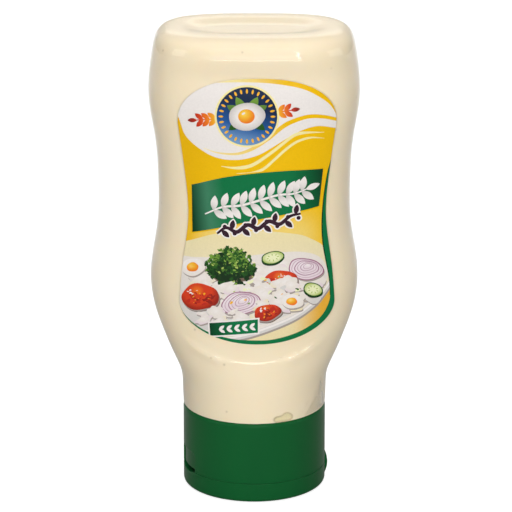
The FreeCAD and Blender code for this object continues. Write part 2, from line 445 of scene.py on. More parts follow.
def oval_sweep_tree():
    """Geometry Nodes: sweeps a profile of half widths, half depths and heights round an oval section."""
    tree = bpy.data.node_groups.new("Oval sweep", "GeometryNodeTree")
    for name, kind in (("Profile", "NodeSocketGeometry"), ("Points Round", "NodeSocketInt"),
                       ("Weld Distance", "NodeSocketFloat"), ("Material", "NodeSocketMaterial")):
        tree.interface.new_socket(name, in_out="INPUT", socket_type=kind)
    tree.interface.new_socket("Bottle", in_out="OUTPUT", socket_type="NodeSocketGeometry")
    given = add_node(tree, "NodeGroupInput").outputs
    profile = given["Profile"]

    rings = add_node(tree, "GeometryNodeAttributeDomainSize", {"Geometry": profile})
    columns = maths(tree, "ADD", given["Points Round"], 1.0)
    grid = add_node(tree, "GeometryNodeMeshGrid",
                    {"Vertices X": rings.outputs["Point Count"], "Vertices Y": columns})
    index = add_node(tree, "GeometryNodeInputIndex").outputs[0]
    row = maths(tree, "FLOOR", maths(tree, "DIVIDE", index, columns))
    column = maths(tree, "SUBTRACT", index, maths(tree, "MULTIPLY", row, columns))
    turn = maths(tree, "DIVIDE", maths(tree, "MULTIPLY", column, 2 * math.pi), given["Points Round"])

    def at_row(value, kind):
        """A value of the profile's point that this row of the grid follows."""
        inputs = {"Geometry": profile, "Index": row, "Value": value}
        return add_node(tree, "GeometryNodeSampleIndex", inputs, data_type=kind).outputs[0]

    place = add_node(tree, "GeometryNodeInputPosition").outputs[0]
    corner = add_node(tree, "GeometryNodeInputNamedAttribute", {"Name": "squareness"}, data_type="FLOAT")
    size = add_node(tree, "ShaderNodeSeparateXYZ", {0: at_row(place, "FLOAT_VECTOR")}).outputs
    power = at_row(corner.outputs[0], "FLOAT")
    cosine, sine = maths(tree, "COSINE", turn), maths(tree, "SINE", turn)
    across, along = (
        maths(tree, "POWER", maths(tree, "ABSOLUTE", maths(tree, "DIVIDE", part, size[axis])), power)
        for part, axis in ((cosine, "X"), (sine, "Y")))
    reach = maths(tree, "POWER", maths(tree, "ADD", across, along), maths(tree, "DIVIDE", -1.0, power))
    point = add_node(tree, "ShaderNodeCombineXYZ", {
        "X": maths(tree, "MULTIPLY", reach, cosine), "Y": maths(tree, "MULTIPLY", reach, sine),
        "Z": size["Z"]})

    shape = grid.outputs["Mesh"]
    for kind, inputs in (("GeometryNodeSetPosition", {"Position": point.outputs[0]}),
                         ("GeometryNodeMergeByDistance", {"Distance": given["Weld Distance"]}),
                         ("GeometryNodeSetShadeSmooth", {}),
                         ("GeometryNodeRealizeInstances", {}),
                         ("GeometryNodeSetMaterial", {"Material": given["Material"]})):
        shape = add_node(tree, kind, {"Geometry": shape, **inputs}).outputs[0]
    add_node(tree, "NodeGroupOutput", {0: shape})
    return tree


def run_tree(tree, name, mesh, values):
    """The object that a Geometry Nodes tree makes of a mesh, as a plain mesh."""
    piece = new_object(name, mesh)
    modifier = piece.modifiers.new(tree.name, "NODES")
    modifier.node_group = tree
    for socket in tree.interface.items_tree:
        if socket.in_out == "INPUT" and socket.name in values:
            modifier[socket.identifier] = values[socket.name]
    ready = piece.evaluated_get(bpy.context.evaluated_depsgraph_get())
    made = bpy.data.meshes.new_from_object(ready)
    piece.modifiers.remove(modifier)
    piece.data = made
    made.name = name
    return piece


def soft_edge(z, radius):
    """Where the edge round the base stands at a height: its inset, and the way it faces, out and up."""
    rise = min(max(1 - (BOTTLE_TOP - z) / radius, 0.0), 1.0)
    level = (1 - rise ** EDGE_POWER) ** (1 / EDGE_POWER)
    out, up = level ** (EDGE_POWER - 1), rise ** (EDGE_POWER - 1)
    return radius * (1 - level), out / math.hypot(out, up), up / math.hypot(out, up)


def skin_rows(skin, side_heights, foot_round):
    """Rows of half width, half depth, height and squareness, from the pole of the base down the side.

    skin is how far outside the bottle's own outline the surface lies: negative for the inside."""
    a, n = half_width(BOTTLE_TOP), squareness(BOTTLE_TOP)
    b = half_depth(BOTTLE_TOP) - (BROW_ROUND - EDGE_ROUND)
    edge = EDGE_ROUND + RING_WIDTH
    floor = edge + DISH_SLOPE * DISH_FLOOR
    low = BOTTLE_TOP - DISH_DEPTH + skin
    rows = [((a - floor) * share, (b - floor) * share, low, n) for share in (POLE_SHARE, *FLOOR_RINGS)]
    for part in np.linspace(DISH_FLOOR, 0, EDGE_ROWS):
        fall = DISH_DEPTH * (1 - math.cos(math.pi * min(part, 1))) / 2
        inward = edge + DISH_SLOPE * part
        rows.append((a - inward, b - inward, BOTTLE_TOP - fall + skin, n))
    inward = EDGE_ROUND + RING_WIDTH / 2
    rows.append((a - inward, b - inward, BOTTLE_TOP + skin, n))
    for turn in np.linspace(math.pi / 2, 0, EDGE_ROWS):
        z = BOTTLE_TOP - BROW_ROUND * (1 - math.sin(turn) ** (2 / EDGE_POWER))
        side_inset, side_out, up = soft_edge(z, EDGE_ROUND)
        brow_inset, brow_out, up = soft_edge(z, BROW_ROUND)
        rows.append((half_width(z) - side_inset + skin * side_out,
                     half_depth(z) - brow_inset + skin * brow_out, z + skin * up, squareness(z)))
    for z in side_heights:
        lift = max(0.0, CAP_HEIGHT + foot_round - z)
        inward = foot_round - math.sqrt(max(foot_round ** 2 - lift ** 2, 0.0))
        rows.append((half_width(z) + skin - inward, half_depth(z) + skin - inward, z, squareness(z)))
    return rows


def rows_down(stops):
    """Heights from the brow's foot down: to each stop in turn, in so many even steps."""
    heights = []
    start = BOTTLE_TOP - BROW_ROUND
    for stop, steps in stops:
        heights += list(np.linspace(start, stop, steps + 1)[1:])
        start = stop
    return heights


def profile_mesh(name, rows):
    """A line of points with a profile's half widths, half depths and heights, and its squareness."""
    rows = np.array(rows, float)
    mesh = new_mesh(name, rows[:, :3], [])
    mark_points(mesh, "squareness", rows[:, 3].copy())
    return mesh


def clear_wall_material(sizes, colours):
    """Clear glossy plastic with the faint waves of a blow moulding; lamps light what it holds."""
    material, tree, place = new_material("clear_wall")
    height = add_node(tree, "ShaderNodeSeparateXYZ", {0: place}).outputs[2]
    rough = map_range(tree, height, ROUGH_FROM * MM, ROUGH_TO * MM, sizes.wall_roughness,
                      sizes.base_roughness)
    plastic = add_node(tree, "ShaderNodeBsdfPrincipled", {
        "Base Color": (*colours.wall, 1), "Roughness": rough, "IOR": 1.49, "Transmission Weight": 1.0,
        "Normal": bump(tree, noise(tree, place, 38.0, 1.0), 0.12, 0.0012)})
    path = add_node(tree, "ShaderNodeLightPath").outputs
    clear = add_node(tree, "ShaderNodeBsdfTransparent", {"Color": (*colours.wall, 1)})
    passing = maths(tree, "MAXIMUM", path["Is Shadow Ray"], path["Is Diffuse Ray"])
    mix = add_node(tree, "ShaderNodeMixShader", {0: passing, 1: plastic.outputs[0], 2: clear.outputs[0]})
    return finish_material(material, mix)


def cream_material(colours):
    """Thick pale cream with faint mottling and a few specks; painted shade darkens it over its air
    pockets, and the deepest take an oily tint.
    """
    material, tree, place = new_material("cream")
    mottle = mix_colours(tree, noise(tree, place, 55.0, 4.0), colours.cream, colours.cream_warm)
    cells = add_node(tree, "ShaderNodeTexVoronoi", {"Vector": place, "Scale": 140.0})
    specks = map_range(tree, cells.outputs["Distance"], 0.09, 0.04, 0.0, 0.55)
    pocket = add_node(tree, "ShaderNodeAttribute", attribute_name="pocket").outputs["Fac"]
    # painted shade over the air pockets and the specks share one darker colour
    shaded = maths(tree, "MAXIMUM", map_range(tree, pocket, 0.0, 0.5), specks)
    painted_shade_and_specks = mix_colours(tree, shaded, mottle, colours.pocket_shade_and_specks)
    cream = add_node(tree, "ShaderNodeBsdfPrincipled", {
        "Base Color": mix_colours(tree, map_range(tree, pocket, 0.5, 1.0), painted_shade_and_specks, colours.pocket),
        "Roughness": 0.55, "Specular IOR Level": 0.2, "Subsurface Weight": 0.25,
        "Subsurface Scale": 0.0015, "Subsurface Radius": (1.0, 0.7, 0.4),
        "Normal": bump(tree, noise(tree, place, 420.0), 0.1, 0.0003)})
    return finish_material(material, cream)


def wall_profile(thickness):
    """The wall's closed profile: down the outside, round the foot and up the inside."""
    heights = rows_down(WALL_ROWS) + [CAP_HEIGHT + lift for lift in FOOT_ROWS]
    outside = skin_rows(0, heights, FOOT_ROUND)
    inside = skin_rows(-thickness, heights, 0)
    return outside + inside[::-1]


def pocket_depth(azimuth, z):
    """How far the cream has come away from the wall above the cap, in mm, for an azimuth and height."""
    wander = 0.6 * np.sin(azimuth * 0.55 + z * 0.5) + 0.25 * np.sin(azimuth * 0.23 + z * 1.1)

    def patch(middle, level, wide, high, lean, wandering, blur, start=0.0):
        """1 inside an oval patch, in mm and degrees, and 0 outside; blur is how wide its edge is."""
        u = (azimuth - middle) * math.radians(1) * CAP_RADIUS
        v = z - level
        c, s = math.cos(math.radians(lean)), math.sin(math.radians(lean))
        reach = (1 - np.hypot((u * c + v * s) / wide, (v * c - u * s) / high)) * min(wide, high)
        return smooth_step((reach + wandering * wander) / blur + start)

    large = np.maximum(patch(62, 33.0, 13.5, 8.2, 22, 1, 3.5), patch(66, 40.0, 4.5, 8.0, -14, 1, 3.5))
    small = patch(25.4, 33.4, 4.7, 2.1, 4, 0.5, 0.9)
    ridge = patch(49.5, 36.2, 4.6, 0.95, 50, 0, 0.5, 0.6)
    lump = patch(40.0, 32.4, 3.0, 2.2, 0, 0.4, 0.6, 0.4)
    depth = np.maximum(LARGE_POCKET * large * (1 - 0.8 * ridge), SMALL_POCKET * small) * (1 - 0.9 * lump)
    return depth * (0.25 + 0.75 * ramp(z, CAP_HEIGHT - 0.2, 1.2))


def raise_ledge(mesh):
    """Raises the low curved ledge under each label, on the wall or on what it holds."""
    points = mesh_points(mesh)
    x, y, z = points.T
    out = np.abs(x)
    from_crest = z - LEDGE_HEIGHT - LEDGE_CURVE * x ** 2
    fall = np.where(from_crest > 0, LEDGE_ABOVE, LEDGE_BELOW)
    swell = (1 + np.cos(np.pi * np.clip(from_crest / fall, -1, 1))) / 2
    share = np.minimum(LEDGE_LOW + (np.maximum(out - LEDGE_EVEN, 0) / LEDGE_GROWTH) ** 2, LEDGE_HIGH)
    rise = LEDGE_RISE * share * swell * ramp(out, LEDGE_END, -LEDGE_FADE)
    points[:, 1] += np.sign(y) * rise * (np.abs(y) > FACE_DEPTH)
    move_points(mesh, points)


def press_pockets(mesh):
    """Sets the cream back from the wall in its air pockets and marks them in the attribute pocket, which
    paints shade and an oily tint there.
    """
    points = mesh_points(mesh)
    x, y, z = points.T
    radius = np.hypot(x, y)
    on_neck = (radius > CAP_RADIUS - 4) & (z < POCKET_TOP)
    depth = np.where(on_neck, pocket_depth(np.degrees(np.arctan2(x, -y)), z), 0)
    points[:, :2] *= (1 - depth / np.maximum(radius, 1))[:, None]
    move_points(mesh, points)
    mark_points(mesh, "pocket", np.clip(depth / SMALL_POCKET, 0, 1))


class WallOperator(Operator):
    """Builds the clear wall of the bottle"""

    bl_idname = "salad_cream.wall"
    bl_label = "Bottle wall"

    def execute(self, context):
        sizes, colours = context.scene.bottle_sizes, context.scene.bottle_colours
        profile = profile_mesh("wall_profile", wall_profile(sizes.wall_thickness / MM))
        wall = run_tree(oval_sweep_tree(), "clear_wall", profile, {
            "Points Round": sizes.points_round, "Weld Distance": WELD_DISTANCE,
            "Material": clear_wall_material(sizes, colours)})
        raise_ledge(wall.data)
        keep_edges_sharp(wall.data)
        dress(wall, ["bottle_wall"])
        return {"FINISHED"}


class CreamOperator(Operator):
    """Builds the salad cream that fills the bottle, with its air pockets above the cap"""

    bl_idname = "salad_cream.filling"
    bl_label = "Salad cream"

    def execute(self, context):
        sizes, colours = context.scene.bottle_sizes, context.scene.bottle_colours
        rows = skin_rows(CREAM_OVERLAP - sizes.wall_thickness / MM, rows_down(CREAM_ROWS), 0)
        a, b, z, n = rows[-1]
        rows += [(a * share, b * share, z, n) for share in (0.7, 0.4, POLE_SHARE)]
        cream = run_tree(oval_sweep_tree(), "filling", profile_mesh("cream_profile", rows), {
            "Points Round": sizes.cream_points_round, "Weld Distance": WELD_DISTANCE,
            "Material": cream_material(colours)})
        raise_ledge(cream.data)
        press_pockets(cream.data)
        keep_edges_sharp(cream.data)
        dress(cream, ["salad_cream"])
        return {"FINISHED"}


# Cap

def cap_material(colours):
    """Green moulded plastic with a satin gloss and faint flow marks."""
    material, tree, place = new_material("cap_green")
    flow = add_node(tree, "ShaderNodeMapping", {"Vector": place, "Scale": (60.0, 60.0, 14.0)}).outputs[0]
    clouds = noise(tree, flow, 1.0, 3.0)
    plastic = add_node(tree, "ShaderNodeBsdfPrincipled", {
        "Base Color": mix_colours(tree, clouds, colours.cap, colours.cap_dark),
        "Roughness": map_range(tree, clouds, 0.0, 1.0, 0.24, 0.36), "Specular IOR Level": 0.12,
        "Normal": bump(tree, noise(tree, place, 2600.0), 0.12, 0.00004)})
    return finish_material(material, plastic)


def cap_angles():
    """Angles round the cap from the recess's middle, in radians: close together at the recess."""
    fine = math.degrees(math.asin((RECESS_HALF_WIDTH + 1) / CAP_RADIUS))
    return np.radians(np.concatenate([np.linspace(-fine, fine, RECESS_POINTS),
                                      np.linspace(fine, 360 - fine, CAP_POINTS)[1:-1]]))


def cap_points(angle, radius, z):
    """Points of the cap for rings of radii and heights, turned to where the cap was screwed tight."""
    turn = angle + math.radians(180 + CAP_TURN)
    return np.stack([radius * np.cos(turn), radius * np.sin(turn), z + 0 * turn], -1)


def quarter_round(radius, z, size, from_top):
    """Radii and heights of a rounded corner, from its flat end to its side or back."""
    turn = np.linspace(0, math.pi / 2, 7)
    if from_top:
        return [(radius - size + size * math.sin(t), z - size + size * math.cos(t)) for t in turn]
    return [(radius - size + size * math.cos(t), z + size - size * math.sin(t)) for t in turn]


def cap_grid(rows):
    """Angles, radii and heights over the cap for a lathe's rows, and each one's way from the recess."""
    rows = np.array(rows, float)
    angle = cap_angles()[None, :]
    across = np.where(np.cos(angle) > 0, CAP_RADIUS * np.sin(angle), 2 * CAP_RADIUS)
    return angle, rows[:, :1] + 0 * angle, rows[:, 1:2] + 0 * angle, np.abs(across)


def recess_reach(across, z):
    """Distance inside the recess's outline, a window with round top corners, in mm."""
    x = across - (RECESS_HALF_WIDTH - RECESS_CORNER)
    y = z - (LID_HEIGHT + RECESS_HEIGHT - RECESS_CORNER)
    outside = np.hypot(np.maximum(x, 0), np.maximum(y, 0))
    return RECESS_CORNER - outside - np.minimum(np.maximum(x, y), 0)


def cap_body_mesh(material):
    """The screwed part of the cap, with its rim, thumb recess, nail slot and half of the seam."""
    low = LID_HEIGHT + SEAM_WIDTH
    recess_top = LID_HEIGHT + RECESS_HEIGHT + 0.6
    slot_top = LID_HEIGHT + SLOT_HEIGHT
    side = np.concatenate([np.linspace(CAP_HEIGHT - CAP_RIM_ROUND, recess_top, 14)[1:],
                           np.linspace(recess_top, slot_top + 0.2, 40)[1:],
                           slot_top + np.array([0.1, 0.03, -0.03, -0.1]),
                           np.linspace(slot_top - 0.2, low + SEAM_ROUND, 8)[:-1]])
    rows = [(radius, CAP_HEIGHT) for radius in (0, 12, 22)]
    rows += quarter_round(CAP_RADIUS, CAP_HEIGHT, CAP_RIM_ROUND, True)
    rows += [(CAP_RADIUS, z) for z in side]
    rows += quarter_round(CAP_RADIUS, low, SEAM_ROUND, False)
    rows += [(CAP_RADIUS - SEAM_DEPTH, low), (CAP_RADIUS - SEAM_DEPTH, LID_HEIGHT), (14, LID_HEIGHT),
             (0, LID_HEIGHT)]
    angle, radius, z, across = cap_grid(rows)
    recess = RECESS_DEPTH * smooth_step(recess_reach(across, z) / RECESS_BLEND + 0.5)
    slot_side = (RECESS_HALF_WIDTH - SLOT_INSET - across) / SLOT_BLEND
    slot_ceiling = (slot_top - z) / SLOT_EDGE
    slot = SLOT_DEPTH * smooth_step(np.minimum(slot_side, slot_ceiling) + 0.5)
    radius = np.minimum(radius, CAP_RADIUS - np.maximum(recess, slot))
    return lathe("moulded_body", cap_points(angle, radius, z), material)


def cap_lid_mesh(material):
    """The flip lid that the bottle stands on, with its dipped lip under the thumb recess."""
    shelf = CAP_RADIUS - SLOT_DEPTH
    rows = [(radius, LID_HEIGHT) for radius in (0, 12, shelf - 0.8, shelf - 0.1, CAP_RADIUS - 1.5)]
    rows += quarter_round(CAP_RADIUS, LID_HEIGHT, SEAM_ROUND, True)
    rows += [(CAP_RADIUS, z) for z in np.linspace(LID_HEIGHT - SEAM_ROUND, LID_BOTTOM_ROUND, 20)[1:-1]]
    rows += quarter_round(CAP_RADIUS, 0, LID_BOTTOM_ROUND, False)
    rows += [(radius, 0) for radius in (24, 12, 0)]
    angle, radius, z, across = cap_grid(rows)
    roller = (RECESS_HALF_WIDTH ** 2 + LIP_DIP ** 2) / (2 * LIP_DIP)
    dip = LIP_DIP - roller + np.sqrt(roller ** 2 - np.minimum(across, RECESS_HALF_WIDTH) ** 2)
    share = smooth_step(1 - (LID_HEIGHT - z) / LIP_BLEND) * (radius > shelf - 0.5)
    return lathe("moulded_lid", cap_points(angle, radius, z - dip * share), material)


def hinge_mesh(material):
    """The hinge strap: a bow over the seam with a thin bending line, rounded at its ends."""
    high = np.linspace(HINGE_HIGH, HINGE_LOW, 41)
    middle = (HINGE_HIGH + HINGE_LOW) / 2
    half = (HINGE_HIGH - HINGE_LOW) / 2
    bow_radius = (half ** 2 + HINGE_BULGE ** 2) / (2 * HINGE_BULGE)
    bow = np.sqrt(bow_radius ** 2 - (high - middle) ** 2) - (bow_radius - HINGE_BULGE)
    bow -= HINGE_LINE_DEPTH * np.exp(-((high - LID_HEIGHT - SEAM_WIDTH / 2) / HINGE_LINE_WIDTH) ** 2)
    angle = np.radians(np.linspace(-HINGE_HALF_ANGLE, HINGE_HALF_ANGLE, 61))
    from_end = (math.radians(HINGE_HALF_ANGLE) - np.abs(angle)) * CAP_RADIUS
    ends = np.sqrt(1 - (1 - np.clip(from_end / HINGE_ROUND, 0, 1)) ** 2)
    front = CAP_RADIUS - HINGE_SINK + (bow[:, None] + HINGE_SINK) * ends[None, :]
    back = np.full_like(front, CAP_RADIUS - HINGE_ROOT)
    points = np.vstack([cap_points(angle + math.pi, reach, high[:, None] + 0 * reach).reshape(-1, 3)
                        for reach in (front, back)])
    at = np.arange(front.size).reshape(front.shape)
    quads = np.stack([at[:-1, :-1], at[1:, :-1], at[1:, 1:], at[:-1, 1:]], -1).reshape(-1, 4)
    border = np.concatenate([at[0, :], at[1:, -1], at[-1, -2::-1], at[-2:0:-1, 0]])
    after = np.roll(border, -1)
    walls = np.column_stack([border, after, after + front.size, border + front.size])
    faces = np.vstack([quads, quads[:, ::-1] + front.size, walls])
    return new_mesh("moulded_hinge", points, faces.tolist(), material)


class CapOperator(Operator):
    """Builds the cap's lid, its body and the hinge strap between them"""

    bl_idname = "salad_cream.cap"
    bl_label = "Flip-top cap"

    def execute(self, context):
        material = cap_material(context.scene.bottle_colours)
        makers = {"cap_body": cap_body_mesh, "cap_lid": cap_lid_mesh, "hinge": hinge_mesh}
        for node, make in makers.items():
            mesh = make(material)
            keep_edges_sharp(mesh)
            dress(new_object("moulded_" + node, mesh), [node])
        return {"FINISHED"}


# Labels

def die_line(shift):
    """The label's outline seen from its front, in mm: the smile, two waisted sides and the arch."""
    sides = natural_spline(*zip(*LABEL_SIDES))
    (low, low_width), (high, high_width) = LABEL_SIDES[0], LABEL_SIDES[-1]
    turn = np.linspace(0, math.pi / 2, LABEL_CURVE_STEPS + 1)

    def quarter(width, height, power):
        return width * np.cos(turn) ** (2 / power), height * np.sin(turn) ** (2 / power)

    smile_x, smile_z = quarter(low_width, LABEL_SMILE_HEIGHT, LABEL_SMILE_SQUARENESS)
    arch_x, arch_z = quarter(high_width, LABEL_ARCH_HEIGHT, LABEL_ARCH_SQUARENESS)
    side_z = np.linspace(low, high, 2 * LABEL_CURVE_STEPS)[1:-1]
    right = np.vstack([np.column_stack([smile_x, low - smile_z])[::-1],
                       np.column_stack([sides(side_z), side_z]),
                       np.column_stack([arch_x, high + arch_z])])
    right[[0, -1], 0] = 0
    left = right[-2:0:-1] * (-1, 1)
    return np.vstack([right, left]) + (shift, 0)


def film_points(flat, skin, side):
    """Points of the print laid on the wall: side is -1 for the front and 1 for the back."""
    x, z = flat[:, 0] * -side, flat[:, 1]
    a, b, n = half_width(z) + skin, half_depth(z) + skin, squareness(z)
    y = side * b * (1 - np.abs(x / a) ** n) ** (1 / n)
    return np.column_stack([x, y, z])


def grid_points(outline):
    """Evenly spaced points over the label, to let the film follow the wall's curve."""
    low, high = outline.min(0), outline.max(0)
    rows = []
    for i, z in enumerate(np.arange(low[1], high[1], PRINT_GRID)):
        x = np.arange(low[0] + (i % 2) * PRINT_GRID / 2, high[0], PRINT_GRID)
        rows.append(np.column_stack([x, np.full(len(x), z)]))
    return np.vstack(rows)


def anticlockwise(outline):
    """The outline, run anticlockwise."""
    x, z = outline[:, 0], outline[:, 1]
    return outline if x @ np.roll(z, -1) > z @ np.roll(x, -1) else outline[::-1]


def film_mesh(name, layers, side, material):
    """A label film whose top carries the layers of print, painted one over the other.

    layers is a list of (outline, ink), the die line first."""
    layers = [(anticlockwise(outline), ink) for outline, ink in layers]
    points = np.vstack([outline for outline, ink in layers] + [grid_points(layers[0][0])])
    outlines = []
    start = 0
    for outline, ink in layers:
        outlines.append(list(range(start, start + len(outline))))
        start += len(outline)
    made = delaunay_2d_cdt([Vector(p) for p in points], [], outlines, 1, CUT_PRECISION, True)
    flat, triangles, sources = np.array([tuple(p) for p in made[0]]), made[2], made[5]
    on_label = [i for i, source in enumerate(sources) if 0 in source]
    triangles = np.array([triangles[i] for i in on_label])
    owner = np.repeat([max(sources[i]) for i in on_label], 3)
    corners = triangles.ravel()

    edges = np.vstack([triangles[:, [0, 1]], triangles[:, [1, 2]], triangles[:, [2, 0]]])
    two_way = {tuple(e) for e in edges.tolist()}
    count = len(flat)
    walls = [(b, a, a + count, b + count) for a, b in two_way if (b, a) not in two_way]
    sheet = np.vstack([film_points(flat, LABEL_FILM, side), film_points(flat, 0, side)])
    faces = triangles.tolist() + (triangles[:, ::-1] + count).tolist() + walls
    mesh = new_mesh(name, sheet, faces, material)

    rgba = np.ones((len(mesh.loops), 4))
    for layer in np.unique(owner):
        mine = np.flatnonzero(owner == layer)
        rgba[mine, :3] = layers[layer][1](flat[corners[mine]])
    mesh.color_attributes.new("ink", "FLOAT_COLOR", "CORNER").data.foreach_set("color", rgba.ravel())
    keep_edges_sharp(mesh)
    return mesh


def print_material():
    """Inks on a satin film, with the fine grain of the print."""
    material, tree, place = new_material("printed_film")
    ink = add_node(tree, "ShaderNodeAttribute", attribute_name="ink").outputs["Color"]
    grain = map_range(tree, noise(tree, place, 1500.0), 0.0, 1.0, 0.94, 1.06)
    tone = add_node(tree, "ShaderNodeVectorMath", {0: ink, "Scale": grain}, operation="SCALE").outputs[0]
    film = add_node(tree, "ShaderNodeBsdfPrincipled", {
        "Base Color": tone, "Roughness": 0.32, "Specular IOR Level": 0.18,
        "Normal": bump(tree, noise(tree, place, 45.0, 1.0), 0.1, 0.001)})
    return finish_material(material, film)


WHITE = colour(233, 227, 223)
YELLOW = colour(236, 186, 0)
YELLOW_DEEP = colour(230, 178, 0)
YELLOW_PALE = colour(236, 207, 112)
CREAM_PALE = colour(228, 216, 180)
PLATE_PALE = colour(230, 216, 168)
LINE_PALE = colour(242, 228, 160)
GREEN = colour(0, 110, 62)
GREEN_DARK = colour(0, 56, 30)
# painted sheen: the pale greyish green of a reflection near the banner's left end
GREEN_PAINTED_SHEEN = colour(60, 124, 92)
GREEN_DEEP = colour(0, 92, 50)
GOLD = colour(224, 168, 52)
PLUM = colour(48, 22, 38)
NAVY = colour(12, 34, 66)
BLUE = colour(30, 84, 150)
BLUE_PALE = colour(120, 160, 200)
GREY = colour(196, 190, 186)
RED = colour(206, 60, 30)
RED_DARK = colour(140, 34, 24)
ORANGE = colour(232, 120, 30)
YOLK = colour(238, 176, 40)
YOLK_LIGHT = colour(250, 214, 90)
YOLK_PALE = colour(248, 214, 120)
HERB = colour(34, 84, 26)
HERB_LIGHT = colour(120, 160, 60)
HERB_DARK = colour(16, 44, 18)
ONION = colour(222, 206, 212)
ONION_RIM = colour(150, 90, 122)
SAUCE = colour(226, 218, 210)
GAP = colour(112, 92, 80)
SAUCE_GREY = colour(208, 204, 200)
SAUCE_SHADE = colour(160, 149, 142)
ONION_PALE = colour(234, 224, 228)
LIME = colour(168, 188, 92)
LIME_PALE = colour(228, 230, 186)
RED_WET = colour(182, 44, 30)


def yellow_field(p):
    """The label's ground: strong yellow, paler above the plate, golden towards the lower corner."""
    x, z = p[:, :1], p[:, 1:]
    rgb = towards(YELLOW, YELLOW_DEEP, ramp(x, -8, -18))
    rgb = towards(rgb, LINE_PALE, ramp(z, 155, 8) * ramp(x, 14, -26))
    rgb = towards(rgb, YELLOW_PALE, ramp(z, 121, -16) * ramp(np.abs(x - 1), 28.25, -13))
    rgb = towards(rgb, CREAM_PALE, 0.75 * ramp(z, 86, -12))
    return towards(rgb, GOLD, ramp(z, 92, -10) * ramp(x, 12, 15))


def white_lobe():
    """The white field at the top: a yellow crescent over it, a wave under it."""
    crescent = smooth_line([(-22, 164.9), (-14.4, 166.1), (-3, 166.4), (7.7, 165.8), (18.3, 163.6),
                            (25.5, 159.5), (29.1, 155.8), (31.4, 151)])
    wave = smooth_line([(-31, 158), (-28, 151.3), (-26.3, 146.1), (-23.8, 142.9), (-20.2, 140.1),
                        (-15.9, 137.7), (-10.9, 136.4), (-4.4, 136.5), (2, 138.4), (7.7, 141.8),
                        (13.4, 145.4), (18.4, 147.9), (24.2, 149), (30.6, 147.3), (34, 145.5)])
    return np.vstack([wave, [(36, 150)], crescent[::-1], [(-24, 172), (-36, 172), (-36, 158)]])


def top_layers():
    """White lobe and the swooshes round it."""
    swoosh = [(-18.8, 140.6), (-13.7, 139), (-6.6, 138.7), (-0.9, 140.6), (4.9, 144.5), (10.6, 149.3),
              (14.8, 151.5), (20.5, 153), (26.3, 152.4), (32, 150.4)]
    second = [(-12.3, 133.7), (-6.6, 133.1), (-0.9, 134.2), (4.9, 138), (10.6, 142.5), (14.9, 145.8),
              (19.1, 146.7), (26.2, 146.3)]
    third = [(-6.6, 131), (-0.9, 131.2), (3.4, 132.7), (7.7, 136.5), (12, 140.5), (16.3, 143.4),
             (21.3, 144.6), (26.3, 143.9)]
    return [
        (white_lobe(), even(WHITE)),
        (stroke(swoosh, (0.2, 0.9, 1.5, 1.7, 1.5, 1.2)), fade((-19, 0), (12, 0), LINE_PALE, YELLOW)),
        (stroke(second, (0.2, 1.4, 1.2, 1.1, 1.3, 0.2)), even(LINE_PALE)),
        (stroke(third, (0.1, 1.1, 1.0, 1.0, 0.9, 0.1)), even(LINE_PALE)),
    ]


def border_layers():
    """The green border down the right side and along the smile."""
    side = [(28.8, 134.6), (27.4, 128.8), (26.1, 119.2), (25.6, 109.5), (26.1, 101.7), (27.3, 94.9),
            (28.5, 87.8), (28.8, 81.7)]
    smile = [(27.7, 77.4), (25.2, 73.6), (21, 70.4), (15.1, 67.7), (7.5, 65.8), (1, 65.4), (-8, 65.9),
             (-16, 67.7), (-22, 70.6), (-26.5, 74.6), (-29.2, 80)]
    inner = smooth_line([(29.6, 139)] + side + smile)
    outer = [(-36, 80), (-30, 60), (20, 56), (40, 62), (40, 139)]
    return [(np.vstack([inner, outer]), even(GREEN)),
            (stroke(side, (0.15, 0.45, 0.5, 0.4, 0.2)), even(GREEN_DARK))]


def banner_outline(grow=0.0):
    """The slanted banner across the label's waist."""
    top = smooth_line([(-23.5 - grow, 125.7 + grow), (-11.7, 129.2 + grow), (0.6, 131 + grow),
                       (13.4, 131.9 + grow), (25.9 + grow, 131.7 + grow)], 5)
    bottom = smooth_line([(24.4 + grow, 117.1 - grow), (12.5, 114.9 - grow), (0.6, 112.7 - grow),
                          (-11.4, 109.9 - grow), (-23.3 - grow, 107.1 - grow)], 5)
    return np.vstack([top, bottom])


def garland_layers():
    """A white leafy twig along the banner."""
    stem = [(-18.5, 114.6), (-12, 117.6), (-5, 118.4), (2, 120.4), (9, 122.4), (15, 122.8),
            (20.5, 124.6)]
    line = smooth_line(stem, 10)
    layers = [(stroke(stem, (0.5, 0.9, 0.9, 0.8, 0.4)), even(WHITE))]
    for i in range(5, len(line) - 3, 5):
        x, z = line[i]
        run = line[i + 1] - line[i]
        heading = math.degrees(math.atan2(run[1], run[0]))
        size = 6.4 - 1.3 * abs(i / len(line) - 0.5)
        for side in (1, -1):
            layers.append((leaf(x, z, size, 2.7, heading + side * 58),
                           fade((x, z), (x + 2, z + side * size), GREY, WHITE, WHITE)))
    return layers + [(leaf(*line[-3], 5.5, 2.4, 18), even(WHITE))]


def banner_layers():
    """The green banner with a thin yellow edge and a white leafy twig; its green darkens towards both ends
    and carries a painted sheen near the left end.
    """
    shade = fade((-24, 122), (26, 128), GREEN_DARK, GREEN_PAINTED_SHEEN, *[GREEN] * 5, GREEN_DEEP, GREEN_DARK)
    return [(banner_outline(0.5), even(YELLOW_DEEP)), (banner_outline(), shade)] + garland_layers()


